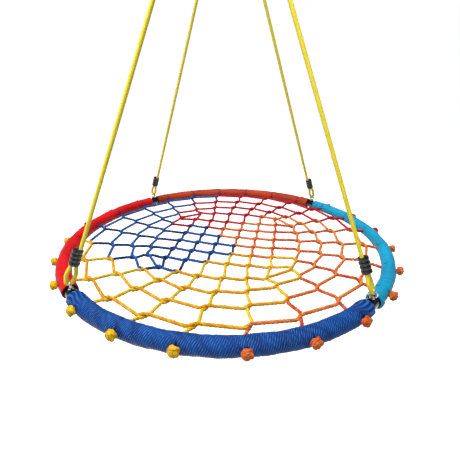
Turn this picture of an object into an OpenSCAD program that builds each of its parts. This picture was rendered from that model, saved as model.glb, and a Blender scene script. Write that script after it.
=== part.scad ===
// Saucer nest swing: a padded round tube frame with a four-colour rope net. Four ropes hang it from
// two rings, and each ring hangs in a snap hook.
// X runs from left to right, Y from front to back and Z up. The origin is half way between the two
// places where the snap hooks rest on what holds them. Lengths are in millimetres.

/* [Frame] */
// Diameter of the circle that the middle of the frame tube follows
ring_d = 954; // [800:1:1200]
// Outside diameter of the frame tube
tube_d = 28; // [24:0.5:34]
// Wall of the frame tube
tube_wall = 1.5; // [1:0.1:2]
// Length of the narrowed end that enters the next tube
spigot_len = 45; // [35:1:70]
// Distance from an eye bolt to the seam between two tubes
seam_offset = 9; // [7:0.5:12]

/* [Padding] */
// Thickness of the foam sleeve
foam_t = 4.5; // [4:0.5:12]
// Thickness of the corded cover
cover_t = 1.2; // [1:0.1:3]
// Length of bare tube between two covers
bare_len = 30; // [28:1:50]

/* [Net] */
// Diameter of the net rope
net_rope_d = 9; // [5:0.5:10]
// How far the middle of the net hangs below the frame
net_sag = 18; // [0:1:60]
// Diameter of the knots outside the frame
knot_d = 26; // [16:0.5:30]
// How far the middle of a knot stands out from the cover
knot_out = 5; // [3:0.5:8]

/* [Hanging] */
// Height from the middle of the frame tube to the snap hooks' bearing points
hang_height = 1050; // [850:5:1400]
// Distance between the two bearing points
hook_spacing = 190; // [120:5:300]
// Diameter of the hanging rope
rope_d = 9; // [7:0.5:12]
// Length of a rope ferrule
ferrule_len = 40; // [30:1:55]
// Length of a rope loop, from the middle of what it holds to its ferrule
loop_len = 40; // [32:1:60]
// Half the width of a rope loop at its widest
loop_half = 10; // [9:0.5:14]

/* [Fittings] */
// Diameter of the eye bolt's shank
bolt_d = 8; // [6:0.5:10]
// Diameter of the wire that the bolt's eye is bent from
eye_wire = 4; // [4:0.5:7]
// Inside diameter of the bolt's eye
eye_bore = 13; // [13:0.5:20]
// Thickness of a washer
washer_t = 1.6; // [1:0.1:3]
// Height of a lock nut
nut_h = 8; // [6:0.5:10]
// Diameter of the wire of a hanging ring
ring_wire = 8; // [6:0.5:10]
// Inside diameter of a hanging ring
ring_bore = 44; // [40:1:60]

/* [Snap hooks] */
// Diameter of the wire of a snap hook
hook_wire = 8; // [7:0.5:10]
// Inside width of a snap hook
hook_width = 16; // [14:0.5:24]
// Inside length of a snap hook
hook_len = 64; // [60:1:90]
// Diameter of the gate's hinge pin
gate_pin_d = 3; // [2:0.5:4]
// Thickness of the hook's hinge tongue
tongue_t = 3; // [2:0.5:4]

/* [Clearances] */
// Gap all round between a narrowed tube end and the tube that it enters
spigot_gap = 0.15; // [0.05:0.05:0.4]
// Gap all round between tube and foam, and between foam and cover
sleeve_gap = 0.2; // [0.1:0.05:0.5]
// Gap all round a net rope where it passes through the frame
net_hole_gap = 0.6; // [0.3:0.1:1.5]
// Between a knot and the cover that it bears on
knot_gap = 0.1; // [0.05:0.05:0.3]
// Gap all round an eye bolt in its hole
bolt_gap = 0.2; // [0.1:0.05:0.5]
// Gap all round an eye bolt inside its nut
nut_gap = 0.08; // [0.03:0.01:0.15]
// Gap all round a rope inside its ferrule
ferrule_gap = 0.15; // [0.1:0.05:0.4]
// Gap between a rope loop and what it holds
loop_gap = 0.7; // [0.5:0.1:2]
// Gap between a hanging ring and the hook that it rests on
hang_gap = 0.3; // [0.2:0.1:1]
// Running gap round the gate's hinge pin
gate_pin_gap = 0.08; // [0.02:0.01:0.1]
// Gap between the moving gate and the hook
gate_gap = 0.6; // [0.4:0.1:1]

/* [Hidden] */
$fn = 64;

joint_turn = 225;          // where the front quarter starts; each quarter is a quarter turn on
quarter = 90;
knots_a_quarter = 6;
knot_step = quarter / knots_a_quarter;
ring_r = ring_d / 2;
tube_r = tube_d / 2;
tube_in = tube_r - tube_wall;
foam_in = tube_r + sleeve_gap;
foam_r = foam_in + foam_t;
cover_in = foam_r + sleeve_gap;
cover_r = cover_in + cover_t;
frame_z = -hang_height;
net_hole_r = net_rope_d / 2 + net_hole_gap;

// Colours of the four quarters of padding, front, right, back and left, and of the four net ropes
cover_colours = ["royalblue", "mediumturquoise", "chocolate", "red"];
net_colours = ["gold", "darkorange", "crimson", "navy"];

// The hook, from its bearing point down to the middle of the hanging ring
bow_r = (hook_width + hook_wire) / 2;             // middle of the wire in each bow
hook_straight = hook_len + hook_wire - 2 * bow_r; // between the middles of the two bows
hang_ring_r = (ring_bore + ring_wire) / 2;
ring_to_bow = hang_ring_r - (ring_wire + hook_wire) / 2 - hang_gap;
ring_to_low_bow = ring_to_bow + bow_r;
hook_reach = ring_to_low_bow + hook_straight + bow_r - hook_wire / 2;
hook_lean = atan2(ring_r * cos(quarter / 2) - hook_spacing / 2, hang_height);
hang_y = hook_spacing / 2 + hook_reach * sin(hook_lean);
hang_z = -hook_reach * cos(hook_lean);

// The eye bolt, up from the middle of the tube
collar_t = 1.2;
collar_r = bolt_d / 2 + 2;
eye_r = (eye_bore + eye_wire) / 2;
eye_z = tube_r + washer_t + collar_t + eye_bore / 2 + eye_wire;
washer_r = bolt_d;
nut_r = bolt_d * 0.93;     // to the corners of the hexagon
bolt_tail = 2;

// The ropes
rope_r = rope_d / 2;
strand_off = rope_r + 0.4; // from the middle of a ferrule to each of its two strands
rib_r = strand_off + rope_r + 2.1;
groove_depth = 1;
ribs = 4;
rope_sides = 8;
// Whether the bolt's eye stands across its rope, for each corner
eye_across = [true, false, true, true];

// ---- directions and places ----
function unit(v) = v / norm(v);
function polar(r, a, z = 0) = [r * cos(a), r * sin(a), z];
function corner_angle(i) = joint_turn + quarter * i;
function is_front(i) = i < 2;
function side_sign(i) = is_front(i) ? -1 : 1;
function hang_point(i) = [0, side_sign(i) * hang_y, hang_z];
function eye_point(i) = polar(ring_r, corner_angle(i), frame_z + eye_z);
function rope_dir(i) = unit(hang_point(i) - eye_point(i));
// The line across a bolt's eye, square to the plane of its wire
function eye_normal(i) =
    let (v = rope_dir(i), flat = unit([v[0], v[1], 0]))
    eye_across[i] ? flat : [-flat[1], flat[0], 0];
function low_anchor(i) =
    let (v = rope_dir(i), n = eye_normal(i))
    eye_point(i) + eye_r * unit(v - (v * n) * n);
function low_side(i) =
    let (v = rope_dir(i), n = eye_normal(i))
    unit(n - (n * v) * v);
function high_anchor(i) = hang_point(i) - hang_ring_r * rope_dir(i);
function high_side(i) = [0, cos(hook_lean), side_sign(i) * sin(hook_lean)];

// ---- a tube swept along a line of points ----
function tangent(p, i) = unit(p[min(i + 1, len(p) - 1)] - p[max(i - 1, 0)]);
function carried(n, t) = unit(n - (n * t) * t);
function normals(p, start, i = 0, last = undef) =
    i == len(p) ? [] :
    let (n = carried(i == 0 ? start : last, tangent(p, i)))
    concat([n], normals(p, start, i + 1, n));
module sweep(p, r, sides, start) {
    n = normals(p, start);
    points = [for (i = [0 : len(p) - 1]) let (b = cross(tangent(p, i), n[i]))
        for (k = [0 : sides - 1]) let (a = 360 * k / sides)
            p[i] + r * cos(a) * n[i] + r * sin(a) * b];
    walls = [for (i = [0 : len(p) - 2]) for (k = [0 : sides - 1])
        let (a = i * sides + k, b = i * sides + (k + 1) % sides)
            [a, a + sides, b + sides, b]];
    first = [for (k = [0 : sides - 1]) k];
    last = [for (k = [sides - 1 : -1 : 0]) (len(p) - 1) * sides + k];
    polyhedron(points, concat([first], walls, [last]));
}
module stand(p, v, side) {
    y = cross(v, side);
    multmatrix([[side[0], y[0], v[0], p[0]],
                [side[1], y[1], v[1], p[1]],
                [side[2], y[2], v[2], p[2]],
                [0, 0, 0, 1]]) children();
}

// ---- frame ----
module arc_tube(outer, inner, from, to) {
    rotate([0, 0, from]) rotate_extrude(angle = to - from) translate([ring_r, 0]) difference() {
        circle(r = outer);
        circle(r = inner);
    }
}
module in_quarter(i) {
    translate([0, 0, frame_z]) rotate([0, 0, corner_angle(i)]) children();
}
module net_holes() {
    for (k = [0 : knots_a_quarter - 1])
        rotate([0, 0, knot_step * (k + 0.5)]) translate([ring_r - 2 * cover_r, 0, 0])
            rotate([0, 90, 0]) cylinder(r = net_hole_r, h = 4 * cover_r);
}
function arc_deg(l) = l / ring_r * 180 / PI;
module frame_tube(i) {
    seam = arc_deg(seam_offset);
    step_len = arc_deg(3 * tube_wall);
    spigot_r = tube_in - spigot_gap;
    color([0.08, 0.08, 0.09]) in_quarter(i) difference() {
        union() {
            arc_tube(tube_r, tube_in, -seam, quarter - seam - 0.02);
            arc_tube(tube_r, spigot_r - tube_wall, quarter - seam - step_len, quarter - seam - 0.02);
            arc_tube(spigot_r, spigot_r - tube_wall, quarter - seam - step_len,
                quarter - seam + arc_deg(spigot_len));
        }
        net_holes();
        for (a = [0, quarter]) rotate([0, 0, a]) translate([ring_r, 0, -tube_d])
            cylinder(r = bolt_d / 2 + bolt_gap, h = 2 * tube_d);
    }
}
module padding(i, outer, inner) {
    edge = arc_deg(bare_len / 2);
    in_quarter(i) difference() {
        arc_tube(outer, inner, edge, quarter - edge);
        net_holes();
    }
}
module foam_sleeve(i) { color("dimgray") padding(i, foam_r, foam_in); }
module cover(i) { color(cover_colours[i]) padding(i, cover_r, cover_in); }

// ---- eye bolts ----
module eye_bolt(i) {
    n = eye_normal(i);
    below = tube_r + washer_t + nut_h + bolt_tail;
    color("silver") translate(polar(ring_r, corner_angle(i), frame_z)) {
        translate([0, 0, eye_z]) rotate([0, 0, atan2(n[1], n[0])]) rotate([0, 90, 0])
            rotate_extrude() translate([eye_r, 0]) circle(r = eye_wire / 2);
        translate([0, 0, tube_r + washer_t]) cylinder(r = collar_r, h = collar_t + eye_wire / 2);
        translate([0, 0, -below]) cylinder(r = bolt_d / 2, h = below + tube_r + washer_t + 1);
    }
}
module bolt_washers() {
    color("silver") for (i = [0 : 3], z = [tube_r, -tube_r - washer_t])
        translate(polar(ring_r, corner_angle(i), frame_z + z)) difference() {
            cylinder(r = washer_r, h = washer_t);
            translate([0, 0, -1]) cylinder(r = bolt_d / 2 + bolt_gap, h = washer_t + 2);
        }
}
module lock_nuts() {
    color("silver") for (i = [0 : 3])
        translate(polar(ring_r, corner_angle(i), frame_z - tube_r - washer_t - nut_h)) difference() {
            cylinder(r = nut_r, h = nut_h, $fn = 6);
            translate([0, 0, -1]) cylinder(r = bolt_d / 2 + nut_gap, h = nut_h + 2);
        }
}

// ---- net: rings of crossings round a turned square of crossings ----
net_r = ring_r - cover_r;
side_cells = 5;            // cells along one side of the square, so six ropes a side
layer_share = [0.932, 0.788, 0.652];
layer_swirl = [2, 3.5, 5.5];
grid_turn = -7.8;
grid_pitch = net_r * 0.1327;
bulge_r = net_r * 0.55;
first_rim = joint_turn - knot_step / 2;
rim_count = 4 * knots_a_quarter;
function sagged(p) = [p[0], p[1], frame_z - net_sag * (1 - pow(min(norm(p) / (net_r * layer_share[0]), 1), 2))];
function crossing(layer, m) =
    sagged(polar(net_r * layer_share[layer], first_rim + knot_step * m + layer_swirl[layer]));
function off_middle(k) = k - side_cells / 2;
// The last ring round the square follows it half way to a circle
function square_ring(m) =
    let (k = m % knots_a_quarter, out = side_cells / 2 + 1,
         far = grid_pitch * sqrt(out * out + off_middle(k) * off_middle(k)),
         side = floor(m / knots_a_quarter))
    sagged(polar((far + bulge_r) / 2,
        270 + grid_turn + quarter * side + atan2(off_middle(k), out)));
function grid(i, j) =
    let (x = off_middle(i) * grid_pitch, y = off_middle(j) * grid_pitch)
    sagged([x * cos(grid_turn) - y * sin(grid_turn), x * sin(grid_turn) + y * cos(grid_turn)]);
function grid_edge(m) =
    let (side = floor(m / knots_a_quarter), k = m % knots_a_quarter, e = side_cells)
    side == 0 ? grid(k, 0) : side == 1 ? grid(e, k) : side == 2 ? grid(e - k, e) : grid(0, e - k);
// Going inward, each layer's colours start one rope further round
function layer_colour(layer, m) = (floor((m + 2 - layer) / knots_a_quarter) + 4) % 4;
navy_along = [2, 3, 3, 2, 1, 0];
navy_up = [4, 4, 3, 2, 0, 0];
function along_colour(i, j) =
    i < navy_along[j] ? 3 :
    j == 0 || (j == 1 && i == 3) ? 0 :
    (j == 4 && i == 1) || (j == 5 && i < 3) ? 2 : 1;
function up_colour(i, j) =
    j == 0 && i >= 3 ? 0 :
    j < navy_up[i] ? 3 :
    j == 4 && i < 3 ? 2 : 1;
function rim_point(r, m) = polar(r, first_rim + knot_step * m, frame_z);
knot_r_at = ring_r + cover_r + knot_out;
rope_in = net_r - net_rope_d / 2;
function rim_links(c) = [for (m = [0 : rim_count - 1]) if (layer_colour(0, m) == c)
    each [[crossing(0, m), rim_point(rope_in, m)], [rim_point(rope_in, m), rim_point(knot_r_at, m)]]];
function ring_links(c) = [for (m = [0 : rim_count - 1], layer = [0 : 3]) if (layer_colour(layer, m) == c)
    let (next = (m + 1) % rim_count)
    layer == 3 ? [square_ring(m), square_ring(next)] : [crossing(layer, m), crossing(layer, next)]];
function spoke_links(c) = [for (m = [0 : rim_count - 1], layer = [1 : 4]) if (layer_colour(layer, m) == c)
    layer == 4 ? [square_ring(m), grid_edge(m)] :
    [crossing(layer - 1, m), layer == 3 ? square_ring(m) : crossing(layer, m)]];
function grid_links(c) = concat(
    [for (i = [0 : side_cells - 1], j = [0 : side_cells]) if (along_colour(i, j) == c)
        [grid(i, j), grid(i + 1, j)]],
    [for (i = [0 : side_cells], j = [0 : side_cells - 1]) if (up_colour(i, j) == c)
        [grid(i, j), grid(i, j + 1)]]);
module net_rope(c) {
    links = concat(rim_links(c), ring_links(c), spoke_links(c), grid_links(c));
    color(net_colours[c]) for (l = links) hull() {
        translate(l[0]) sphere(r = net_rope_d / 2, $fn = 4);
        translate(l[1]) sphere(r = net_rope_d / 2, $fn = 4);
    }
}
module rim_knots(c) {
    flat = knot_out - knot_gap;      // from a knot's middle to where it bears on the cover
    color(net_colours[c]) for (m = [0 : rim_count - 1]) if (layer_colour(0, m) == c)
        translate(rim_point(knot_r_at, m)) rotate([0, 0, first_rim + knot_step * m])
            rotate([0, 90, 0]) rotate_extrude() intersection() {
                circle(d = knot_d);
                translate([0, -flat]) square([knot_d, knot_d]);
            }
}

// ---- hanging ropes ----
// One end's loop, from the rope's cut end round the wire and back to its standing part
function loop_points(p, v, side, wire_r) =
    let (bend = wire_r + rope_r + loop_gap, up = loop_len, wide = loop_len * 0.42,
         flat = concat(
            [[-strand_off, up + ferrule_len - rope_d], [-strand_off, up], [-loop_half, wide]],
            [for (a = [200 : 35 : 340]) bend * [cos(a), sin(a)]],
            [[loop_half, wide], [strand_off, up], [strand_off, up + ferrule_len]]))
    [for (q = flat) p + q[0] * side + q[1] * v];
function back_to_front(p) = [for (i = [len(p) - 1 : -1 : 0]) p[i]];
module hanging_rope(i) {
    v = rope_dir(i);
    low = loop_points(low_anchor(i), v, low_side(i), eye_wire / 2);
    high = loop_points(high_anchor(i), -v, high_side(i), ring_wire / 2);
    color("yellow") sweep(concat(low, back_to_front(high)), rope_r, rope_sides, cross(v, low_side(i)));
}
module ferrule_body() {
    groove = ferrule_len / (3 * ribs);
    pitch = (ferrule_len + groove) / ribs;
    color([0.06, 0.06, 0.06]) difference() {
        translate([0, 0, loop_len]) cylinder(r = rib_r, h = ferrule_len);
        for (k = [1 : ribs - 1]) translate([0, 0, loop_len + k * pitch - groove]) difference() {
            cylinder(r = rib_r + 1, h = groove);
            translate([0, 0, -1]) cylinder(r = rib_r - groove_depth, h = groove + 2);
        }
        for (x = [-strand_off, strand_off]) translate([x, 0, loop_len - 1])
            cylinder(r = rope_r + ferrule_gap, h = ferrule_len + 2);
    }
}
module lower_ferrule(i) { stand(low_anchor(i), rope_dir(i), low_side(i)) ferrule_body(); }
module upper_ferrule(i) { stand(high_anchor(i), -rope_dir(i), high_side(i)) ferrule_body(); }

// ---- hanging rings and snap hooks: -1 is the front one and 1 the back one ----
module at_hanger(s) {
    translate([0, s * hang_y, hang_z]) rotate([s * hook_lean, 0, 0])
        rotate([0, 0, s > 0 ? 180 : 0]) children();
}
module hang_ring(s) {
    color("silver") at_hanger(s) rotate([90, 0, 0]) rotate_extrude()
        translate([hang_ring_r, 0]) circle(r = ring_wire / 2);
}
wire_r = hook_wire / 2;
gate_pin_z = wire_r;       // above the middle of the lower bow
gate_top = hook_straight - 2;
tongue_r = wire_r - 0.5;
slot_t = tongue_t + 0.4;
spring_bore_r = 2.2;
spring_wire = 0.7;
spring_turns = 6;
plunger_h = 4;
plunger_z = gate_pin_z + tongue_r + gate_gap / 2;
spring_z = plunger_z + plunger_h + spring_wire / 2;
spring_pitch = 2;
spring_h = spring_turns * spring_pitch;
spring_bore_h = plunger_h + spring_h + 2 * spring_wire;
module at_hook(s) { at_hanger(s) translate([0, 0, ring_to_low_bow]) children(); }
module at_gate(s) { at_hook(s) translate([0, -bow_r, 0]) children(); }
module bow(z, from, sweep_angle) {
    translate([0, 0, z]) rotate([90, 0, 90]) rotate([0, 0, from])
        rotate_extrude(angle = sweep_angle) translate([bow_r, 0]) circle(r = wire_r);
}
module snap_hook(s) {
    stub_end = gate_pin_z - wire_r - gate_gap;
    color("silver") {
        at_hook(s) {
            bow(0, 180, 180);
            bow(hook_straight, 0, 180);
            translate([0, bow_r, -0.01]) cylinder(r = wire_r, h = hook_straight + 0.02);
        }
        at_gate(s) {
            translate([0, 0, gate_top + gate_gap])
                cylinder(r = wire_r, h = hook_straight - gate_top - gate_gap + 0.01);
            difference() {
                union() {
                    translate([-tongue_t / 2, -tongue_r, stub_end - 2])
                        cube([tongue_t, 2 * tongue_r, gate_pin_z - stub_end + 2]);
                    translate([-tongue_t / 2, 0, gate_pin_z]) rotate([0, 90, 0])
                        cylinder(r = tongue_r, h = tongue_t);
                }
                translate([-wire_r, 0, gate_pin_z]) rotate([0, 90, 0])
                    cylinder(r = gate_pin_d / 2 + gate_pin_gap / 4, h = hook_wire);
            }
        }
    }
}
module gate(s) {
    color("gainsboro") at_gate(s) difference() {
        union() {
            translate([0, 0, gate_pin_z]) cylinder(r = wire_r, h = gate_top - gate_pin_z);
            intersection() {
                cylinder(r = wire_r, h = gate_pin_z + 0.5);
                translate([-wire_r - 1, 0, gate_pin_z]) rotate([0, 90, 0])
                    cylinder(r = wire_r, h = hook_wire + 2);
            }
        }
        translate([-slot_t / 2, -wire_r - 1, -1])
            cube([slot_t, hook_wire + 2, plunger_z + 1]);
        translate([-wire_r - 1, 0, gate_pin_z]) rotate([0, 90, 0])
            cylinder(r = gate_pin_d / 2 + gate_pin_gap, h = hook_wire + 2);
        translate([0, 0, plunger_z - 0.01]) cylinder(r = spring_bore_r, h = spring_bore_h);
    }
}
module gate_pin(s) {
    color("silver") at_gate(s) translate([-wire_r, 0, gate_pin_z]) rotate([0, 90, 0])
        cylinder(r = gate_pin_d / 2, h = hook_wire);
}
module gate_plunger(s) {
    color("goldenrod") at_gate(s) translate([0, 0, plunger_z])
        cylinder(r = spring_bore_r - 0.1, h = plunger_h - 0.1);
}
module gate_spring(s) {
    steps = 12;
    coil_r = spring_bore_r - spring_wire / 2 - 0.15;
    coil = [for (k = [0 : steps * spring_turns])
        polar(coil_r, 360 * k / steps, spring_z + spring_pitch * k / steps)];
    color("gray") at_gate(s) sweep(coil, spring_wire / 2, 6, [1, 0, 0]);
}

snap_hook(-1);  // snap_hook_front
snap_hook(1);  // snap_hook_back
gate(-1);  // gate_front
gate(1);  // gate_back
gate_pin(-1);  // gate_pin_front
gate_pin(1);  // gate_pin_back
gate_spring(-1);  // gate_spring_front
gate_spring(1);  // gate_spring_back
gate_plunger(-1);  // gate_plunger_front
gate_plunger(1);  // gate_plunger_back
hang_ring(-1);  // hang_ring_front
hang_ring(1);  // hang_ring_back
hanging_rope(0);  // hanging_rope_front_left
hanging_rope(1);  // hanging_rope_front_right
hanging_rope(2);  // hanging_rope_back_right
hanging_rope(3);  // hanging_rope_back_left
upper_ferrule(0);  // upper_ferrule_front_left
upper_ferrule(1);  // upper_ferrule_front_right
upper_ferrule(2);  // upper_ferrule_back_right
upper_ferrule(3);  // upper_ferrule_back_left
lower_ferrule(0);  // lower_ferrule_front_left
lower_ferrule(1);  // lower_ferrule_front_right
lower_ferrule(2);  // lower_ferrule_back_right
lower_ferrule(3);  // lower_ferrule_back_left
eye_bolt(0);  // eye_bolt_front_left
eye_bolt(1);  // eye_bolt_front_right
eye_bolt(2);  // eye_bolt_back_right
eye_bolt(3);  // eye_bolt_back_left
bolt_washers();
lock_nuts();
frame_tube(0);  // frame_tube_front
frame_tube(1);  // frame_tube_right
frame_tube(2);  // frame_tube_back
frame_tube(3);  // frame_tube_left
foam_sleeve(0);  // foam_sleeve_front
foam_sleeve(1);  // foam_sleeve_right
foam_sleeve(2);  // foam_sleeve_back
foam_sleeve(3);  // foam_sleeve_left
cover(0);  // cover_front
cover(1);  // cover_right
cover(2);  // cover_back
cover(3);  // cover_left
net_rope(0);  // net_yellow
net_rope(1);  // net_orange
net_rope(2);  // net_red
net_rope(3);  // net_navy
rim_knots(0);  // rim_knots_yellow
rim_knots(1);  // rim_knots_orange
rim_knots(2);  // rim_knots_red
rim_knots(3);  // rim_knots_navy
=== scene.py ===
import math
import bpy
import numpy as np
from mathutils import Matrix, Vector


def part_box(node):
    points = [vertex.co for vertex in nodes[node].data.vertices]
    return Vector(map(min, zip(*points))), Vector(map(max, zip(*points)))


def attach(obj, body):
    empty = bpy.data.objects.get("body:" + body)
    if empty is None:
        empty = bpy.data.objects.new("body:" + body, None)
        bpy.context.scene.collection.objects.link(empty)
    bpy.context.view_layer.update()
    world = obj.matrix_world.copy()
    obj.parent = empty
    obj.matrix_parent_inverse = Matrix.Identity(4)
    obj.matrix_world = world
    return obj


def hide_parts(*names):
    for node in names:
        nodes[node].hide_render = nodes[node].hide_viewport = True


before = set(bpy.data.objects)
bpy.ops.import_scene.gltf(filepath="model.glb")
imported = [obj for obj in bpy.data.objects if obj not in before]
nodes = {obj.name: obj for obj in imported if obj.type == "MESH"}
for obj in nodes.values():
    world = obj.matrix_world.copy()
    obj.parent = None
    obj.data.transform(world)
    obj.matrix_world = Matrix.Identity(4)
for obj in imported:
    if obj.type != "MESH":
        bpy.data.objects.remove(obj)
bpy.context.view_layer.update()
scene = bpy.context.scene
print("frame loaded:", len(nodes), "nodes")

corners = ["front_left", "front_right", "back_right", "back_left"]
quarters = ["front", "right", "back", "left"]
netColours = ["yellow", "orange", "red", "navy"]
cornerAngles = [math.radians(225 + 90 * n) for n in range(4)]
quarterTurn = math.pi / 2

# the ring's own sizes, read from the frame
tubeLow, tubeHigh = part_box("frame_tube_front")
frameZ = (tubeLow.z + tubeHigh.z) / 2
tubeR = (tubeHigh.z - tubeLow.z) / 2
ringR = -tubeLow.y - tubeR


def halfHeight(node):
    low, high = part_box(node)
    return (high.z - low.z) / 2


def middle(node):
    low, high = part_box(node)
    return np.array((low + high) / 2)


def unit(v):
    return v / np.linalg.norm(v)


def onRing(radius, angle, height=0.0):
    return np.array([radius * math.cos(angle), radius * math.sin(angle), frameZ + height])


coverR = halfHeight("cover_front")
netR = ringR - coverR

# camera, in front of the seat and above it
cameraSet = {
    "place": (0.0538, -0.9072, -0.6241),
    "azimuth": 2.74,
    "elevation": 22.45,
    "roll": 0.14,
    "lens": 23.99,
    "sensor": 36,
    "shift": (-0.0007, -0.0183),
}


def addCamera(s):
    az, el, roll = (math.radians(s[k]) for k in ("azimuth", "elevation", "roll"))
    back = Vector((math.sin(az) * math.cos(el), -math.cos(az) * math.cos(el), math.sin(el)))
    right = Vector((math.cos(az), math.sin(az), 0))
    up = back.cross(right)
    turned = (
        right * math.cos(roll) + up * math.sin(roll),
        up * math.cos(roll) - right * math.sin(roll),
        back,
    )
    data = bpy.data.cameras.new("camera")
    data.lens = s["lens"]
    data.sensor_width = s["sensor"]
    data.shift_x, data.shift_y = s["shift"]
    camera = bpy.data.objects.new("camera", data)
    scene.collection.objects.link(camera)
    camera.matrix_world = Matrix.Translation(s["place"]) @ Matrix(turned).transposed().to_4x4()
    scene.camera = camera


addCamera(cameraSet)
print("camera placed")


# a shader socket that adds and multiplies like a number
class Wire:
    def __init__(self, tree, socket=None):
        self.tree = tree
        self.socket = socket

    def node(self, kind, settings=None, inputs=None, out=0):
        made = self.tree.nodes.new(kind)
        for name, value in (settings or {}).items():
            if name == "stops":
                setStops(made.color_ramp, value)
            else:
                setattr(made, name, value)
        for key, value in (inputs or {}).items():
            if isinstance(value, Wire):
                self.tree.links.new(value.socket, made.inputs[key])
            else:
                made.inputs[key].default_value = value
        return Wire(self.tree, made.outputs[out])

    def maths(self, operation, first, second=0.0):
        return self.node("ShaderNodeMath", {"operation": operation}, {0: first, 1: second})

    def __add__(self, other):
        return self.maths("ADD", self, other)

    def __radd__(self, other):
        return self.maths("ADD", other, self)

    def __mul__(self, other):
        return self.maths("MULTIPLY", self, other)

    def __rmul__(self, other):
        return self.maths("MULTIPLY", other, self)

    def sine(self):
        return self.maths("SINE", self)

    def size(self):
        return self.maths("ABSOLUTE", self)


def setStops(ramp, stops):
    while len(ramp.elements) < len(stops):
        ramp.elements.new(0.5)
    for element, (place, colour) in zip(ramp.elements, stops):
        element.position = place
        element.color = (*colour, 1)


def hexColour(code):
    shares = [int(code[k:k + 2], 16) / 255 for k in (0, 2, 4)]
    return tuple(c / 12.92 if c < 0.04045 else ((c + 0.055) / 1.055) ** 2.4 for c in shares)


def newFinish(name):
    material = bpy.data.materials.new(name)
    material.use_nodes = True
    return material, Wire(material.node_tree)


def mixed(w, share, first, second):
    ends = [c if isinstance(c, Wire) else (*c, 1) for c in (first, second)]
    return w.node("ShaderNodeMix", {"data_type": "RGBA"}, {0: share, 6: ends[0], 7: ends[1]}, out=2)


def ramped(w, value, low, high, start=0.0, end=1.0):
    return w.node("ShaderNodeMapRange", {"interpolation_type": "SMOOTHSTEP"},
                  {"Value": value, "From Min": low, "From Max": high, "To Min": start, "To Max": end})


def bumped(w, height, depth, strength=1.0):
    return w.node("ShaderNodeBump", None, {"Height": height, "Distance": depth, "Strength": strength})


def inObject(w):
    return w.node("ShaderNodeTexCoord", out=3)


def onUv(w, name, axis):
    place = w.node("ShaderNodeUVMap", {"uv_map": name})
    return w.node("ShaderNodeSeparateXYZ", None, {0: place}, out=axis)


def together(w, x, y, z=0.0):
    return w.node("ShaderNodeCombineXYZ", None, {0: x, 1: y, 2: z})


def speckle(w, place, scale, detail=3.0, roughness=0.55):
    return w.node("ShaderNodeTexNoise", None,
                  {"Vector": place, "Scale": scale, "Detail": detail, "Roughness": roughness})


def attribute(w, name):
    return w.node("ShaderNodeAttribute", {"attribute_name": name}, out=2)


def dress(material, w, inputs):
    shader = material.node_tree.nodes["Principled BSDF"]
    for name, value in inputs.items():
        if isinstance(value, Wire):
            w.tree.links.new(value.socket, shader.inputs[name])
        elif isinstance(value, tuple):
            shader.inputs[name].default_value = (*value, 1)
        else:
            shader.inputs[name].default_value = value
    return material


def metalFinish(name, s):
    material, w = newFinish(name)
    place = inObject(w)
    cloud = speckle(w, place, s["cloudScale"])
    grain = speckle(w, place, s["grainScale"], detail=2.0)
    return dress(material, w, {
        "Base Color": mixed(w, cloud, s["dark"], s["light"]),
        "Metallic": 1.0,
        "Roughness": ramped(w, cloud, 0.3, 0.7, *s["rough"]),
        "Normal": bumped(w, grain, s["grainDepth"]),
    })


def plasticFinish(name, s):
    material, w = newFinish(name)
    place = inObject(w)
    cloud = speckle(w, place, s["cloudScale"])
    grain = speckle(w, place, s["grainScale"], detail=1.0)
    return dress(material, w, {
        "Base Color": mixed(w, cloud, s["dark"], s["light"]),
        "Roughness": ramped(w, cloud, 0.3, 0.7, *s["rough"]),
        "Coat Weight": s["coat"],
        "Specular IOR Level": 0.4,
        "Coat Roughness": 0.06,
        "Normal": bumped(w, grain, s["grainDepth"]),
    })


# rope yarn: fine fibres run along each strand, with painted shade in dark streaks between the fibres
def yarnFinish(name, s):
    material, w = newFinish(name)
    along = onUv(w, "lay", 0)
    around = onUv(w, "lay", 1)
    tone = attribute(w, "tone")
    fibres = speckle(w, together(w, along * s["fibreAlong"], around * s["fibreAround"]), 1.0, 2.0)
    shade = speckle(w, inObject(w), s["cloudScale"], 2.0)
    strand = mixed(w, tone, s["first"], s["second"])
    worn = mixed(w, ramped(w, shade, 0.35, 0.75) * s["fade"], strand, s["pale"])
    return dress(material, w, {
        # painted shade: streaks between the fibres are mixed toward the deep colour
        "Base Color": mixed(w, ramped(w, fibres, 0.3, 0.6, s["fibreShade"], 0.0), worn, s["deep"]),
        "Roughness": ramped(w, fibres, 0.3, 0.7, *s["rough"]),
        "Specular IOR Level": s["shine"],
        "Sheen Weight": s["sheen"],
        "Sheen Roughness": 0.4,
        "Normal": bumped(w, fibres, s["fibreDepth"]),
    })
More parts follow.
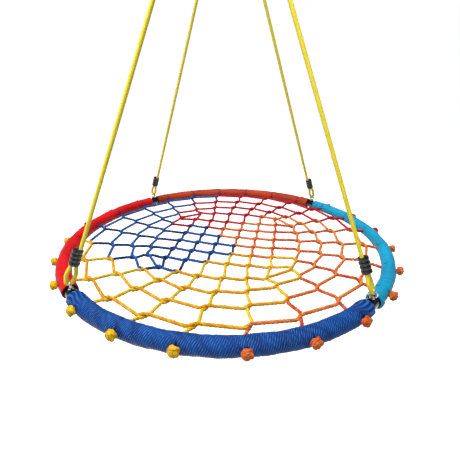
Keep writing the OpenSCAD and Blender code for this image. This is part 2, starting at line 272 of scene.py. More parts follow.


# woven cover cloth: threads over and under, with painted shade in the folds and a painted highlight on the
# ridges
def clothFinish(name, s):
    material, w = newFinish(name)
    along = onUv(w, "weave", 0)
    around = onUv(w, "weave", 1)
    fold = attribute(w, "fold")
    turns = 2 * math.pi / s["thread"]
    warp = (along * turns).sine()
    weft = (around * turns).sine()
    threads = warp * weft + 0.3 * (warp.size() + weft.size())
    cloud = speckle(w, together(w, along * s["cloudAlong"], around * s["cloudAround"]), 1.0, 4.0)
    fleck = speckle(w, together(w, along * s["fleckAlong"], around * s["fleckAround"]), 1.0, 2.0)
    base = mixed(w, ramped(w, cloud, 0.3, 0.7), s["deep"], s["colour"])
    # painted highlight on the rib crests, then painted shade in the folds, slits and pinches
    highlighted = mixed(w, ramped(w, fold, 0.62, 1.0) * s["ridgeHighlightShare"], base, s["fleckAndRidgeHighlight"])
    shaded = mixed(w, ramped(w, fold, 0.55, 0.15), highlighted, s["foldShadeColour"])
    return dress(material, w, {
        "Base Color": mixed(w, ramped(w, fleck, 0.55, 0.8, 0.0, s["fleckShare"]), shaded, s["fleckAndRidgeHighlight"]),
        "Roughness": ramped(w, cloud, 0.3, 0.7, *s["rough"]),
        "Specular IOR Level": s["shine"],
        "Sheen Weight": s["sheen"],
        "Sheen Roughness": 0.35,
        "Normal": bumped(w, threads, s["threadDepth"], 0.8),
    })


zinc = metalFinish("zinc_plate", {
    "dark": hexColour("a9abae"), "light": hexColour("dfe1e3"), "rough": (0.16, 0.3),
    "cloudScale": 140.0, "grainScale": 900.0, "grainDepth": 0.00004})
spring = metalFinish("spring_wire", {
    "dark": hexColour("6d7075"), "light": hexColour("9a9da1"), "rough": (0.25, 0.4),
    "cloudScale": 400.0, "grainScale": 2500.0, "grainDepth": 0.00002})
brass = metalFinish("turned_brass", {
    "dark": hexColour("9c7a35"), "light": hexColour("cfae63"), "rough": (0.22, 0.35),
    "cloudScale": 300.0, "grainScale": 2000.0, "grainDepth": 0.00002})
gloss = plasticFinish("black_powder_coat", {
    "dark": hexColour("050506"), "light": hexColour("0c0d0e"), "rough": (0.14, 0.24), "coat": 0.35,
    "cloudScale": 60.0, "grainScale": 1500.0, "grainDepth": 0.00004})
blackened = metalFinish("blackened_steel", {
    "dark": hexColour("15161a"), "light": hexColour("2c2e33"), "rough": (0.28, 0.42),
    "cloudScale": 160.0, "grainScale": 900.0, "grainDepth": 0.00004})
rubber = plasticFinish("moulded_rubber", {
    "dark": hexColour("060607"), "light": hexColour("101112"), "rough": (0.2, 0.34), "coat": 0.3,
    "cloudScale": 220.0, "grainScale": 2600.0, "grainDepth": 0.00008})
foam = plasticFinish("closed_cell_foam", {
    "dark": hexColour("2c2d2f"), "light": hexColour("4a4b4e"), "rough": (0.8, 0.95), "coat": 0.0,
    "cloudScale": 500.0, "grainScale": 1400.0, "grainDepth": 0.0005})
print("hard finishes mixed")


def lengths(line):
    return np.concatenate([[0], np.cumsum(np.linalg.norm(np.diff(line, axis=0), axis=1))])


def spacedOut(line, step):
    line = np.array(line, float)
    run = lengths(line)
    at = np.linspace(0, run[-1], max(3, round(run[-1] / step) + 1))
    return np.stack([np.interp(at, run, line[:, k]) for k in range(3)], axis=1)


def eased(line, rounds):
    line = line.copy()
    for _ in range(rounds):
        line[1:-1] = line[1:-1] / 2 + (line[:-2] + line[2:]) / 4
    return line


# directions along a line, and two across it that turn no more than they must
def carried(line):
    along = np.gradient(line, axis=0)
    along /= np.linalg.norm(along, axis=1)[:, None]
    side = np.zeros_like(line)
    first = np.cross(along[0], (0.0, 0.0, 1.0))
    if np.linalg.norm(first) < 0.1:
        first = np.cross(along[0], (1.0, 0.0, 0.0))
    side[0] = unit(first)
    for n in range(1, len(line)):
        side[n] = unit(side[n - 1] - side[n - 1].dot(along[n]) * along[n])
    return along, side, np.cross(along, side)


# collects round strands, and makes one piece of them
class Strands:
    def __init__(self):
        self.points, self.faces, self.uv, self.tone, self.count = [], [], [], [], 0

    def add(self, line, radius, sides, tone=0.0):
        along, side, over = carried(line)
        turn = np.arange(sides) * 2 * math.pi / sides
        radii = np.asarray(radius, float)
        radii = radii[..., None] if radii.ndim == 2 else np.broadcast_to(radii, len(line))[:, None, None]
        ring = np.cos(turn)[None, :, None] * side[:, None] + np.sin(turn)[None, :, None] * over[:, None]
        self.points.append((line[:, None] + radii * ring).reshape(-1, 3))
        self.tone.append(np.broadcast_to(tone, (len(line), sides)).ravel())
        run = lengths(line)
        here = np.arange(len(line) - 1)[:, None] * sides + self.count
        k = np.arange(sides)[None]
        a = here + k
        b = here + (k + 1) % sides
        self.faces += np.stack([a, b, b + sides, a + sides], -1).reshape(-1, 4).tolist()
        u0 = np.broadcast_to(run[:-1, None], a.shape)
        u1 = np.broadcast_to(run[1:, None], a.shape)
        v0 = np.broadcast_to(k / sides, a.shape)
        v1 = np.broadcast_to((k + 1) / sides, a.shape)
        self.uv.append(np.stack([u0, v0, u0, v1, u1, v1, u1, v0], -1).reshape(-1, 2))
        last = self.count + (len(line) - 1) * sides
        self.faces.append(list(range(self.count + sides - 1, self.count - 1, -1)))
        self.faces.append(list(range(last, last + sides)))
        self.uv.append(np.zeros((2 * sides, 2)))
        self.count += len(line) * sides

    def piece(self, name, material):
        mesh = bpy.data.meshes.new(name)
        mesh.from_pydata(np.concatenate(self.points).tolist(), [], self.faces)
        mesh.uv_layers.new(name="lay").data.foreach_set("uv", np.concatenate(self.uv).ravel())
        tone = mesh.attributes.new("tone", "FLOAT", "POINT")
        tone.data.foreach_set("value", np.concatenate(self.tone))
        mesh.shade_smooth()
        mesh.materials.append(material)
        piece = bpy.data.objects.new(name, mesh)
        scene.collection.objects.link(piece)
        return piece


# three-strand rope, laid to the right
def layRope(stock, line, s, turn=0.0, tone=0.5):
    along, side, over = carried(line)
    run = lengths(line)
    for k in range(3):
        at = 2 * math.pi * (run / s["lay"] + k / 3) + turn
        strand = line + s["strandOut"] * (np.cos(at)[:, None] * side + np.sin(at)[:, None] * over)
        # the three strands get lighter and darker tones: painted light and shade stripes along the lay
        stock.add(strand, s["strandR"], s["sides"], tone=min(1.0, max(0.0, tone + s["layShadeStripe"] * (k - 1))))


# hanging ropes: a braid of two sets of eight strands, one cord from loop to loop
ropeSet = {
    "diameter": 0.009,
    "length": 1.18,
    "strands": 8,
    "pitch": 0.052,
    "crown": 0.00032,
    "weave": 0.00014,
    "step": 0.0014,
    "sides": 36,
    "eyeHeight": 0.0273,
    "eyeR": 0.0085,
    "eyeWireR": 0.002,
    "ringR": 0.026,
    "ringWireR": 0.004,
    "strandOff": 0.0049,
    "loopLen": 0.04,
    "loopHalf": 0.01,
    "ferruleLen": 0.04,
    "loopGap": 0.0007,
    "shoulderShare": 0.42,
    "easing": 12,
}
eyeAcross = [True, False, True, True]


def loopPoints(place, v, side, wireR, s):
    bend = wireR + s["diameter"] / 2 + s["loopGap"]
    up, wide, off = s["loopLen"], s["loopLen"] * s["shoulderShare"], s["strandOff"]
    turns = [math.radians(a) for a in range(200, 341, 35)]
    flat = [(-off, up + s["ferruleLen"] - s["diameter"]), (-off, up), (-s["loopHalf"], wide)]
    flat += [(bend * math.cos(a), bend * math.sin(a)) for a in turns]
    flat += [(s["loopHalf"], wide), (off, up), (off, up + s["ferruleLen"])]
    return [place + x * side + y * v for x, y in flat]


def ropeEnds(n, s):
    pair = "front" if n < 2 else "back"
    hang = middle("hang_ring_" + pair)
    eye = onRing(ringR, cornerAngles[n], s["eyeHeight"])
    v = unit(hang - eye)
    level = unit(v * (1, 1, 0))
    across = level if eyeAcross[n] else np.array([-level[1], level[0], 0])
    low = eye + s["eyeR"] * unit(v - v.dot(across) * across)
    lowSide = unit(across - across.dot(v) * v)
    high = hang - s["ringR"] * v
    lean = unit((hang - middle("snap_hook_" + pair)) * (0, 1, 1))
    highSide = np.array([0, -lean[2], lean[1]])
    return v, (low, lowSide), (high, highSide)


def roundedRoute(points, step, rounds):
    return eased(spacedOut(points, step), rounds)


# one closed tube whose skin rises over each strand and dips where strands cross
def braidRope(name, route, s, material):
    stock = Strands()
    turn = np.arange(s["sides"])[None] * 2 * math.pi / s["sides"]
    lead = 2 * math.pi * lengths(route)[:, None] / s["pitch"]
    right = s["strands"] * (turn - lead) / 2
    left = s["strands"] * (turn + lead) / 2
    lift = s["weave"] * np.cos(right) * np.cos(left)
    rightCrown = np.abs(np.cos(right)) * s["crown"] + lift
    leftCrown = np.abs(np.cos(left)) * s["crown"] - lift
    crown = np.maximum(rightCrown, leftCrown)
    skin = s["diameter"] / 2 - s["crown"] + crown
    over = np.clip(0.5 + 0.5 * lift / s["weave"], 0, 1)
    stock.add(route, skin, s["sides"], tone=over)
    return stock.piece(name, material)


ropeYarn = yarnFinish("yellow_braid", {
    "first": hexColour("ffee22"), "second": hexColour("fbe010"), "pale": hexColour("fff568"),
    "deep": hexColour("c8a400"), "fibreAlong": 700.0, "fibreAround": 30.0, "cloudScale": 30.0,
    "fade": 0.3, "fibreShade": 0.3, "fibreDepth": 0.00006, "rough": (0.34, 0.5), "shine": 0.4,
    "sheen": 0.0})
ropes = []
for n, corner in enumerate(corners):
    v, low, high = ropeEnds(n, ropeSet)
    lowLoop = loopPoints(low[0], v, low[1], ropeSet["eyeWireR"], ropeSet)
    highLoop = loopPoints(high[0], -v, high[1], ropeSet["ringWireR"], ropeSet)
    route = roundedRoute(lowLoop + highLoop[::-1], ropeSet["step"], ropeSet["easing"])
    rope = braidRope("braided_rope_" + corner, route, ropeSet, ropeYarn)
    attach(rope, "seat")
    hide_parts("hanging_rope_" + corner)
    ropes.append((rope, route, v, low, high))
print("hanging ropes braided:", round(float(lengths(ropes[0][1])[-1]), 4), "m")

# moulded ferrules: a ribbed barrel clamped round the rope's two strands
ferruleSet = {
    "barrelR": 0.0096,
    "ribR": 0.0119,
    "ribs": 4,
    "length": 0.04,
    "roundOff": 0.00033,
    "mouthR": 0.0075,
    "mouthLip": 0.0006,
    "ribFoot": 0.0014,
    "ribShoulder": 0.0020,
    "ribTop": 0.0031,
    "sides": 40,
}


def deselectAll():
    for o in bpy.context.selected_objects:
        o.select_set(False)


# turned piece: a disc is extruded up through the stations, each (height, radius)
def turnPiece(name, stations, sides):
    deselectAll()
    height, radius = stations[0]
    bpy.ops.mesh.primitive_circle_add(vertices=sides, radius=radius, fill_type="NGON",
                                      location=(0, 0, height))
    piece = bpy.context.object
    piece.name = name
    piece.data.name = name
    bpy.ops.object.transform_apply()
    bpy.ops.object.mode_set(mode="EDIT")
    bpy.ops.mesh.select_all(action="SELECT")
    for above, wide in stations[1:]:
        bpy.ops.mesh.extrude_region_move(TRANSFORM_OT_translate={"value": (0, 0, above - height)})
        share = wide / radius
        bpy.ops.transform.resize(value=(share, share, 1), center_override=(0, 0, above))
        height, radius = above, wide
    bpy.ops.mesh.select_all(action="SELECT")
    bpy.ops.mesh.normals_make_consistent(inside=False)
    bpy.ops.object.mode_set(mode="OBJECT")
    bpy.ops.object.shade_smooth_by_angle(angle=math.radians(35))
    return piece


def standOn(piece, place, up, side):
    across = np.cross(up, side)
    turn = Matrix((tuple(side), tuple(across), tuple(up))).transposed().to_4x4()
    piece.data.transform(Matrix.Translation(tuple(place)) @ turn)


def ferruleStations(s):
    pitch = s["length"] / s["ribs"]
    r, out, shoulderR = s["barrelR"], s["ribR"], s["ribR"] - s["roundOff"]
    stations = [(0.0, s["mouthR"]), (s["mouthLip"], r)]
    for k in range(s["ribs"]):
        base = k * pitch
        stations += [
            (base + s["ribFoot"], r),
            (base + s["ribShoulder"], shoulderR),
            (base + s["ribTop"], out),
            (base + pitch - s["ribTop"], out),
            (base + pitch - s["ribShoulder"], shoulderR),
            (base + pitch - s["ribFoot"], r),
        ]
    return stations + [(s["length"] - s["mouthLip"], r), (s["length"], s["mouthR"])]


for n, corner in enumerate(corners):
    rope, route, v, low, high = ropes[n]
    for end, (anchor, side), up in (("lower", low, v), ("upper", high, -v)):
        barrel = turnPiece(f"{end}_clamp_{corner}", ferruleStations(ferruleSet), ferruleSet["sides"])
        standOn(barrel, anchor + ropeSet["loopLen"] * up, up, side)
        barrel.data.materials.append(rubber)
        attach(barrel, "seat")
        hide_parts(f"{end}_ferrule_{corner}")
print("ferrules moulded")

# net: rings of splices round a turned square of splices
netSet = {
    "sag": 0.018,
    "shares": (0.932, 0.788, 0.652),
    "swirls": (2.0, 3.5, 5.5),
    "gridTurn": math.radians(-7.8),
    "pitchShare": 0.1327,
    "bulgeShare": 0.55,
    "cells": 5,
    "spliceHalf": (0.0130, 0.0120, 0.0110, 0.0092, 0.0080),
    "spliceTurn": math.radians(42),
    "ropeR": 0.0045,
    "squeeze": 0.86,
    "lay": 0.028,
    "strandR": 0.00222,
    "strandOut": 0.00238,
    "layShadeStripe": 0.4,
    "sides": 7,
    "step": 0.0028,
    "knotOut": 0.005,
    "spliceSteps": 5,
    "roundTone": 0.1,
    "inwardTone": 0.85,
    "linkTurn": 1.7,
    "easing": 2,
}
knotAngles = [math.radians(217.5 + 15 * m) for m in range(24)]
knotR = ringR + coverR + netSet["knotOut"]
gridPitch = netR * netSet["pitchShare"]
bulgeR = netR * netSet["bulgeShare"]
cells = netSet["cells"]
gridMiddle = cells / 2


def sagged(x, y):
    share = math.hypot(x, y) / (netSet["shares"][0] * netR)
    return np.array([x, y, frameZ - netSet["sag"] * max(0.0, 1 - share * share)])


def ringPlace(layer, m):
    r = netR * netSet["shares"][layer]
    a = knotAngles[m % 24] + math.radians(netSet["swirls"][layer])
    return sagged(r * math.cos(a), r * math.sin(a))


def squarePlace(m):
    block, k = divmod(m % 24, 6)
    far = gridPitch * math.hypot(gridMiddle + 1, k - gridMiddle)
    r = (far + bulgeR) / 2
    a = math.radians(270 + 90 * block) + netSet["gridTurn"] + math.atan2(k - gridMiddle, gridMiddle + 1)
    return sagged(r * math.cos(a), r * math.sin(a))


def gridPlace(i, j):
    x, y = (i - gridMiddle) * gridPitch, (j - gridMiddle) * gridPitch
    c, s = math.cos(netSet["gridTurn"]), math.sin(netSet["gridTurn"])
    return sagged(x * c - y * s, x * s + y * c)


def gridEdge(m):
    block, k = divmod(m % 24, 6)
    return [(k, 0), (cells, k), (cells - k, cells), (0, cells - k)][block]


def ringSplice(layer, m):
    place = squarePlace(m) if layer == 3 else ringPlace(layer, m)
    outward = unit(place * (1, 1, 0))
    ccw = np.array([-outward[1], outward[0], 0])
    turn = netSet["spliceTurn"]
    return place, unit(ccw * math.cos(turn) - outward * math.sin(turn)), netSet["spliceHalf"][layer]


def gridSplice(i, j):
    turn = netSet["gridTurn"] + math.radians(45)
    return gridPlace(i, j), np.array([math.cos(turn), math.sin(turn), 0]), netSet["spliceHalf"][4]


# half of a splice, from its middle out to one end: the two ropes wind half a turn round each other
def halfSplice(splice, end, across):
    place, d, half = splice
    p = np.array([-d[1], d[0], 0])
    up = np.array([0, 0, 1])
    off = netSet["ropeR"] * netSet["squeeze"]
    points = []
    for t in np.linspace(0, end, netSet["spliceSteps"]):
        turn = quarterTurn * (t + 1) + (0 if across else math.pi)
        points.append(place + half * t * d + off * (math.cos(turn) * p + math.sin(turn) * up))
    return points


def linkLine(first, firstEnd, second, secondEnd, across):
    start = halfSplice(first, firstEnd, across)
    end = halfSplice(second, secondEnd, across)
    return start + end[::-1]


def layerColour(layer, m):
    return ((m + 2 - layer) // 6 + 4) % 4


def alongColour(i, j):
    if i < (2, 3, 3, 2, 1, 0)[j]:
        return 3
    if j == 0 or (j == 1 and i == 3):
        return 0
    return 2 if (j == 4 and i == 1) or (j == 5 and i < 3) else 1


def upColour(i, j):
    if j == 0 and i >= 3:
        return 0
    if j < (4, 4, 3, 2, 0, 0)[i]:
        return 3
    return 2 if j == 4 and i < 3 else 1


# every link of the net, as its colour, tone and line
def netLinks():
    roundTone, inwardTone = netSet["roundTone"], netSet["inwardTone"]
    links = []
    for m in range(24):
        out = [onRing(r, knotAngles[m]) for r in (knotR, ringR, netR)]
        line = out + halfSplice(ringSplice(0, m), -1, False)[::-1]
        links.append((layerColour(0, m), inwardTone, line))
        for layer in range(4):
            here, onward = ringSplice(layer, m), ringSplice(layer, m + 1)
            links.append((layerColour(layer, m), roundTone, linkLine(here, 1, onward, -1, True)))
            if layer < 3:
                inner = ringSplice(layer + 1, m)
                line = linkLine(here, 1, inner, -1, False)
                links.append((layerColour(layer + 1, m), inwardTone, line))
                continue
            block = m // 6
            line = halfSplice(here, 1, False)
            end = halfSplice(gridSplice(*gridEdge(m)), 1 if block in (1, 2) else -1, block in (1, 3))
            links.append((layerColour(4, m), inwardTone, line + end[::-1]))
    for i in range(cells + 1):
        for j in range(cells + 1):
            if i < cells:
                line = linkLine(gridSplice(i, j), 1, gridSplice(i + 1, j), -1, True)
                links.append((alongColour(i, j), roundTone, line))
            if j < cells:
                line = linkLine(gridSplice(i, j), 1, gridSplice(i, j + 1), -1, False)
                links.append((upColour(i, j), inwardTone, line))
    return links


netYarn = {
    "fibreAlong": 420.0, "fibreAround": 8.0, "cloudScale": 14.0, "fade": 0.3, "fibreShade": 0.6,
    "fibreDepth": 0.00025, "rough": (0.5, 0.72), "shine": 0.14, "sheen": 0.0}
# for each colour: ropes that run round the net, ropes that run inward, worn yarn, yarn in shadow
netTones = [
    ("e09410", "f8d018", "fae25a", "7a4000"),
    ("f08a3e", "cc3c14", "f7b070", "6c1c00"),
    ("d4182a", "9c0c1a", "e2404a", "4c0006"),
    ("2a66ba", "101c50", "3060ac", "060a24"),
]
yarns = []
for name, tones in zip(netColours, netTones):
    shades = {key: hexColour(code) for key, code in zip(("first", "second", "pale", "deep"), tones)}
    yarns.append(yarnFinish("net_yarn_" + name, {**netYarn, **shades}))
netStock = [Strands() for _ in netColours]
for number, (colour, tone, line) in enumerate(netLinks()):
    route = roundedRoute(line, netSet["step"], netSet["easing"])
    layRope(netStock[colour], route, netSet, turn=number * netSet["linkTurn"], tone=tone)
for colour, name in enumerate(netColours):
    net = netStock[colour].piece("laid_net_" + name, yarns[colour])
    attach(net, "seat")
    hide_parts("net_" + name)
print("net laid")

# stopper knots outside the rim: an overhand knot pulled down into a round ball
knotSet = {
    "wide": 0.0068,
    "swing": 0.0019,
    "deep": 0.0042,
    "strandR": 0.0022,
    "strandOut": 0.0021,
    "lay": 0.03,
    "layShadeStripe": 0.25,
    "sides": 8,
    "step": 0.0022,
    "centre": 0.0016,
    "samples": 60,
    "spin": 2.4,
    "tone": 0.6,
    "tailTone": 0.45,
    "tailStart": 0.005,
    "tailEnd": 0.011,
    "tailSway": 0.5,
    "tailOut": 0.3,
    "coreR": 0.0096,
    "coreRings": 11,
    "coreReach": 0.95,
    "coreBlunt": 1.02,
    "coreSides": 14,
    "rise": 0.006,
}


def knotFrame(m):
    outward = np.array([math.cos(knotAngles[m]), math.sin(knotAngles[m]), 0])
    return outward, np.array([-outward[1], outward[0], 0]), np.array([0, 0, 1.0])


# the front knots ride a little up the cover, pulled by the sagging net
def knotCentre(m, s):
    rise = s["rise"] * max(0.0, -math.sin(knotAngles[m])) ** 2
    return onRing(knotR + s["centre"], knotAngles[m], rise)


def knotLine(m, s):
    outward, ccw, up = knotFrame(m)
    centre = knotCentre(m, s)
    points = []
    for t in np.linspace(0, 2 * math.pi, s["samples"]):
        r = s["wide"] + s["swing"] * math.cos(3 * t)
        a = 2 * t + m * s["spin"]
        points.append(centre + r * (math.cos(a) * ccw + math.sin(a) * up)
                      + s["deep"] * math.sin(3 * t) * outward)
    away = unit(-up + s["tailSway"] * math.sin(3 * m) * ccw + s["tailOut"] * outward)
    return points, [centre + s["tailStart"] * away, centre + s["tailEnd"] * away]


# the rope's own body inside the knot, so that no light shows between its turns
def knotCore(m, s):
    outward = knotFrame(m)[0]
    along = np.linspace(-1, 1, s["coreRings"])
    centre = knotCentre(m, s)
    line = centre + along[:, None] * s["coreReach"] * s["coreR"] * outward
    return line, s["coreR"] * np.sqrt(np.clip(s["coreBlunt"] - along ** 2, 0, 1))


knotStock = [Strands() for _ in netColours]
for m in range(24):
    points, end = knotLine(m, knotSet)
    stock = knotStock[layerColour(0, m)]
    layRope(stock, spacedOut(points, knotSet["step"]), knotSet, turn=m, tone=knotSet["tone"])
    layRope(stock, spacedOut(end, knotSet["step"]), knotSet, turn=m, tone=knotSet["tailTone"])
    line, radius = knotCore(m, knotSet)
    stock.add(line, radius, knotSet["coreSides"], tone=knotSet["tone"])
for colour, name in enumerate(netColours):
    knots = knotStock[colour].piece("stopper_knots_" + name, yarns[colour])
    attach(knots, "seat")
    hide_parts("rim_knots_" + name)
print("knots tied")

# padded covers: a corded cloth sleeve over the foam, slit where each net rope passes through
sleeveSet = {
    "sides": 64,
    "step": 0.0012,
    "wall": 0.0014,
    "endGap": 0.015,
    "rib": 0.0046,
    "ribDepth": 0.00085,
    "pinchDepth": 0.0026,
    "pinchWide": 0.006,
    "slitDepth": 0.0013,
    "slitWide": 0.0013,
    "slitLong": 0.0075,
    "slitTurns": (0.55, 2.3),
    "recess": 0.0022,
    "liningGap": 0.0004,
    "hemShare": 1.2,
    "hemLip": 0.0004,
    "hemFold": 0.0002,
    "boreRings": 58,
    "boreInset": 0.004,
    "endHold": 0.004,
    "endFlow": 0.075,
    "ribSlant": 10,
    "waves": 13,
    "waveLength": 0.11,
    "sway": 0.0005,
    "dimple": 0.00022,
}
# how each kind of end is shaped; every pair is a depth and how far in it reaches
endSet = {
    "gatherReach": 0.012,
    "gatherGap": 0.0022,
    "swell": (0.0008, 0.012),
    "swellAt": 0.02,
    "roll": (0.0036, 0.0048),
    "rollAt": 0.006,
    "crease": (0.0036, 0.0017),
    "creaseAt": 0.014,
    "cupLip": (0.0016, 0.0018),
    "plainLip": (0.0009, 0.0025),
}
clothSet = {
    "thread": 0.0016,
    "threadDepth": 0.00018,
    "cloudAlong": 9,
    "cloudAround": 14,
    "fleckAlong": 260,
    "fleckAround": 900,
    "fleckShare": 0.3,
    "rough": (0.36, 0.5),
    "sheen": 0.0,
    "shine": 0.16,
}
# per cover: the fold colour is painted shade for the folds; the ridge colour is a painted highlight for
# the ridges and also the colour of the pale flecks
sleeves = {
    "front": {
        "colour": "0b3a8a", "deep": "082a6e", "fleckAndRidgeHighlight": "2a86da", "foldShadeColour": "030a2c", "slim": 0.0,
        "ribShare": 1.0, "ends": ("gathered", "gathered"), "ridgeHighlightShare": 0.85, "seed": 3},
    "right": {
        "colour": "14a2cc", "deep": "0e8cb6", "fleckAndRidgeHighlight": "62d0ea", "foldShadeColour": "0b4560", "slim": 0.0024,
        "ribShare": 0.3, "ends": ("cup", "plain"), "ridgeHighlightShare": 0.45, "seed": 5},
    "back": {
        "colour": "bc3f20", "deep": "a0301a", "fleckAndRidgeHighlight": "d8622e", "foldShadeColour": "420c08", "slim": 0.0015,
        "ribShare": 0.2, "ends": ("plain", "plain"), "ridgeHighlightShare": 0.35, "seed": 8},
    "left": {
        "colour": "da1018", "deep": "bc0a12", "fleckAndRidgeHighlight": "ee2c30", "foldShadeColour": "5e070c", "slim": 0.0004,
        "ribShare": 0.24, "ends": ("plain", "plain"), "ridgeHighlightShare": 0.35, "seed": 11},
}


# smooth wandering values between about -1 and 1 over the sleeve
def wander(s, turn, seed, scale, count=7):
    pick = np.random.default_rng(seed)
    total = 0
    for _ in range(count):
        along = pick.uniform(0.4, 1.6) / scale
        lobes = pick.integers(0, 4)
        total = total + np.sin(2 * math.pi * along * s + lobes * turn + pick.uniform(0, 6.28))
    return total / math.sqrt(count)


def smoothStep(x):
    x = np.clip(x, 0, 1)
    return x * x * (3 - 2 * x)


def hump(x, centre, reach):
    return np.exp(-((x - centre) / reach) ** 2)


def lip(inward, depth, reach):
    return -depth * np.clip(1 - inward / reach, 0, 1) ** 2


# how far the end of a sleeve is drawn in or rolled, for a distance in from the end
def endShape(kind, inward, s):
    if kind == "gathered":
        drawn = 1 - np.sqrt(np.clip(1 - (1 - np.clip(inward / s["gatherReach"], 0, 1)) ** 2, 0, 1))
        swell, reach = s["swell"]
        return -(coverR - tubeR - s["gatherGap"]) * drawn + swell * hump(inward, s["swellAt"], reach)
    if kind == "cup":
        roll = s["roll"][0] * hump(inward, s["rollAt"], s["roll"][1])
        crease = -s["crease"][0] * hump(inward, s["creaseAt"], s["crease"][1])
        return roll + crease + lip(inward, *s["cupLip"])
    return lip(inward, *s["plainLip"])


def sleeveHeights(along, turn, length, start, s, look):
    seed = look["seed"]
    bend = wander(along, turn, seed, 0.05) * 0.8
    nearEnd = smoothStep(1 - np.minimum(along, length - along) / s["endFlow"]) * min(1.0, look["ribShare"])
    across = np.sin(2 * math.pi * along / s["rib"] - s["ribSlant"] * turn + 1.2 * bend)
    strokes = 0.35 + 0.65 * smoothStep(0.6 + 0.8 * wander(along, turn * 3, seed + 1, 0.014, 11))
    waves = np.sin(s["waves"] * turn + 2.4 * bend + 2 * math.pi * along / s["waveLength"])
    ribs = across * strokes * (1 - 0.7 * nearEnd) + 0.9 * waves * nearEnd
    height = s["ribDepth"] * look["ribShare"] * ribs
    height = height + s["sway"] * wander(along, turn, seed + 2, 0.11)
    height = height + s["dimple"] * wander(along, turn * 2, seed + 4, 0.025, 11)
    # painted light: high on the rib crests for a painted highlight, low in rib troughs, slits and pinches
    # for painted shade
    fold = 0.6 + 0.4 * ribs * min(1.0, look["ribShare"]) + 0.05 * bend
    for angle in knotAngles:
        at = (angle - start) % (2 * math.pi) * ringR
        if not 0 < at < length:
            continue
        for slitTurn in s["slitTurns"]:
            slit = hump(along, at, s["slitWide"]) * hump((turn - slitTurn) * coverR, 0, s["slitLong"])
            height = height - s["slitDepth"] * slit
            fold = fold - 0.9 * slit
        inner = np.hypot(along - at, (np.abs(turn) - math.pi) * coverR)
        outer = np.hypot(along - at, turn * coverR)
        pinch = hump(inner, 0, s["pinchWide"]) + hump(outer, 0, 1.3 * s["pinchWide"])
        height = height - s["pinchDepth"] * pinch
        fold = fold - 0.45 * pinch
    ends = endShape(look["ends"][0], along, endSet) + endShape(look["ends"][1], length - along, endSet)
    held = smoothStep(along / s["endHold"]) * smoothStep((length - along) / s["endHold"])
    return height * held + ends - look["slim"], fold


def gridFaces(rings, sides, closed):
    rows = np.arange(rings if closed else rings - 1)[:, None]
    k = np.arange(sides)[None]
    a = rows * sides + k
    b = rows * sides + (k + 1) % sides
    c = (rows + 1) % rings * sides + (k + 1) % sides
    d = (rows + 1) % rings * sides + k
    return np.stack([a, d, c, b], -1).reshape(-1, 4)


def bentTube(name, along, turn, radius, start, fold, materials, foamRows):
    angle = start + along / ringR
    reach = ringR + radius * np.cos(turn)
    points = np.stack([reach * np.cos(angle), reach * np.sin(angle), frameZ + radius * np.sin(turn)], -1)
    rings, sides = radius.shape
    faces = gridFaces(rings, sides, True)
    mesh = bpy.data.meshes.new(name)
    mesh.from_pydata(points.reshape(-1, 3).tolist(), [], faces.tolist())
    row, k = np.divmod(faces, sides)
    wrapped = np.where((k == 0) & (k.max(axis=1, keepdims=True) == sides - 1), sides, k)
    uv = np.stack([along[row, 0], wrapped / sides * 2 * math.pi * coverR], -1)
    mesh.uv_layers.new(name="weave").data.foreach_set("uv", uv.astype(float).ravel())
    # the painted shade and highlight values, carried to the cloth finish
    shade = mesh.attributes.new("fold", "FLOAT", "POINT")
    shade.data.foreach_set("value", np.clip(fold, 0, 1).ravel())
    for material in materials:
        mesh.materials.append(material)
    first = row[:, 0]
    inFoam = (first >= foamRows[0]) & (first < foamRows[1])
    mesh.polygons.foreach_set("material_index", inFoam.astype(np.int32))
    mesh.shade_smooth()
    piece = bpy.data.objects.new(name, mesh)
    scene.collection.objects.link(piece)
    return piece


def sleevePiece(quarter, number, s, look):
    start = cornerAngles[number] + s["endGap"] / ringR
    length = ringR * quarterTurn - 2 * s["endGap"]
    rows = round(length / s["step"])
    turn = np.linspace(-math.pi, math.pi, s["sides"], endpoint=False)[None, :]
    out = np.linspace(0, length, rows + 1)[:, None]
    height, fold = sleeveHeights(out, turn, length, start, s, look)
    outer = coverR + height
    lining = tubeR + s["liningGap"]
    # from the hem at the far end: its edge, its inside, the foam set back in it, then along the tube
    far, near = outer[-1], outer[0]
    wall, recess, inset = s["wall"], s["recess"], s["boreInset"]
    lipR, foldR = lining + s["hemLip"], lining + s["hemFold"]
    hem = [(length, np.maximum(far - wall, lipR)),
           (length - recess, np.maximum(far - s["hemShare"] * wall, foldR)),
           (length - recess * 0.8, lining)]
    hem += [(a, lining) for a in np.linspace(length - inset, inset, s["boreRings"])]
    hem += [(recess * 0.8, lining),
            (recess, np.maximum(near - s["hemShare"] * wall, foldR)),
            (0.0, np.maximum(near - wall, lipR))]
    back = np.array([a for a, _ in hem])[:, None]
    inner = np.stack([np.broadcast_to(radius, s["sides"]) for _, radius in hem])
    along = np.concatenate([out + 0 * turn, back + 0 * turn])
    turns = np.broadcast_to(turn, along.shape)
    shades = {key: hexColour(look[key]) for key in ("colour", "deep", "fleckAndRidgeHighlight", "foldShadeColour")}
    cloth = clothFinish("cover_cloth_" + quarter, {**clothSet, **shades, "ridgeHighlightShare": look["ridgeHighlightShare"]})
    # the inside of the hem gets a low value: painted shade
    shadesAndHighlights = np.concatenate([fold, np.full(inner.shape, 0.3)])
    return bentTube("padded_cover_" + quarter, along, turns, np.concatenate([outer, inner]),
                    start, shadesAndHighlights, (cloth, foam), (rows + 2, rows + len(hem) - 1))


for number, quarter in enumerate(quarters):
    sleeve = sleevePiece(quarter, number, sleeveSet, sleeves[quarter])
    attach(sleeve, "seat")
    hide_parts("cover_" + quarter, "foam_sleeve_" + quarter)
print("covers sewn")


def giveFinish(material, *names):
    for name in names:
        mesh = nodes[name].data
        mesh.materials.clear()
        mesh.materials.append(material)


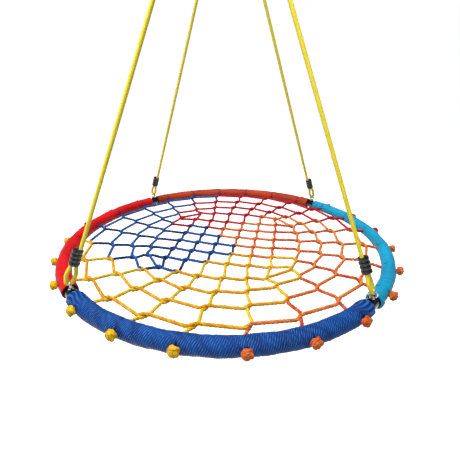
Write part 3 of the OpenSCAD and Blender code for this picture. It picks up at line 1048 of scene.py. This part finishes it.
giveFinish(gloss, *["frame_tube_" + q for q in quarters])
giveFinish(foam, *["foam_sleeve_" + q for q in quarters])
giveFinish(zinc, *["eye_bolt_" + c for c in corners])
giveFinish(blackened, "bolt_washers", "lock_nuts")
for end in ("front", "back"):
    giveFinish(zinc, "snap_hook_" + end, "gate_" + end, "gate_pin_" + end, "hang_ring_" + end)
    giveFinish(spring, "gate_spring_" + end)
    giveFinish(brass, "gate_plunger_" + end)
print("metal and tube finished")

# the studio: pale floor, white surround, soft light from above, in front and one side
studioSet = {
    "floorDrop": 0.42,
    "floorSize": 30.0,
    "surround": 0.2,
    "skyR": 18.0,
    "skyGlow": 1.0,
    "floorRough": 0.9,
    "floorGlow": 0.82,
}


def addFloor(s):
    deselectAll()
    bpy.ops.mesh.primitive_plane_add(size=s["floorSize"], location=(0, 0, frameZ - s["floorDrop"]))
    floor = bpy.context.object
    floor.name = "floor"
    material, w = newFinish("pale_floor")
    tint = speckle(w, inObject(w), 0.6)
    dress(material, w, {
        "Base Color": mixed(w, tint, hexColour("f7f7f7"), hexColour("fbfbfb")),
        "Roughness": s["floorRough"],
        "Emission Color": hexColour("ffffff"),
        "Emission Strength": s["floorGlow"],
    })
    floor.data.materials.append(material)
    floor.visible_diffuse = False


# a white surround to look at, which lights nothing: the softer world behind it does that
def addSky(s):
    deselectAll()
    bpy.ops.mesh.primitive_uv_sphere_add(segments=48, ring_count=24, radius=s["skyR"],
                                         location=(0, 0, frameZ))
    sky = bpy.context.object
    sky.name = "white_surround"
    material, w = newFinish("white_glow")
    dress(material, w, {
        "Base Color": hexColour("000000"),
        "Specular IOR Level": 0.0,
        "Emission Color": hexColour("ffffff"),
        "Emission Strength": s["skyGlow"],
    })
    sky.data.materials.append(material)
    sky.visible_diffuse = False
    sky.visible_glossy = False
    sky.visible_shadow = False


def addLight(name, place, aim, size, power):
    data = bpy.data.lights.new(name, "AREA")
    data.shape = "RECTANGLE"
    data.size, data.size_y = size
    data.energy = power
    lamp = bpy.data.objects.new(name, data)
    scene.collection.objects.link(lamp)
    way = Vector(aim) - Vector(place)
    lamp.matrix_world = Matrix.Translation(place) @ way.to_track_quat("-Z", "Y").to_matrix().to_4x4()


def addWorld(strength):
    world = bpy.data.worlds.new("surround")
    world.use_nodes = True
    background = world.node_tree.nodes["Background"]
    background.inputs[0].default_value = (1, 1, 1, 1)
    background.inputs[1].default_value = strength
    scene.world = world


addFloor(studioSet)
addSky(studioSet)
addWorld(studioSet["surround"])
addLight("overhead", (-0.4, -0.3, 1.3), (0, 0, -1.05), (1.6, 1.6), 78)
addLight("front_soft", (0.6, -2.6, 0.3), (0, 0, -1.0), (1.6, 1.2), 11)
addLight("side_soft", (-2.2, -1.6, 0.1), (0, 0, -1.0), (1.2, 1.2), 18)
scene.view_settings.view_transform = "Standard"
print("studio lit")
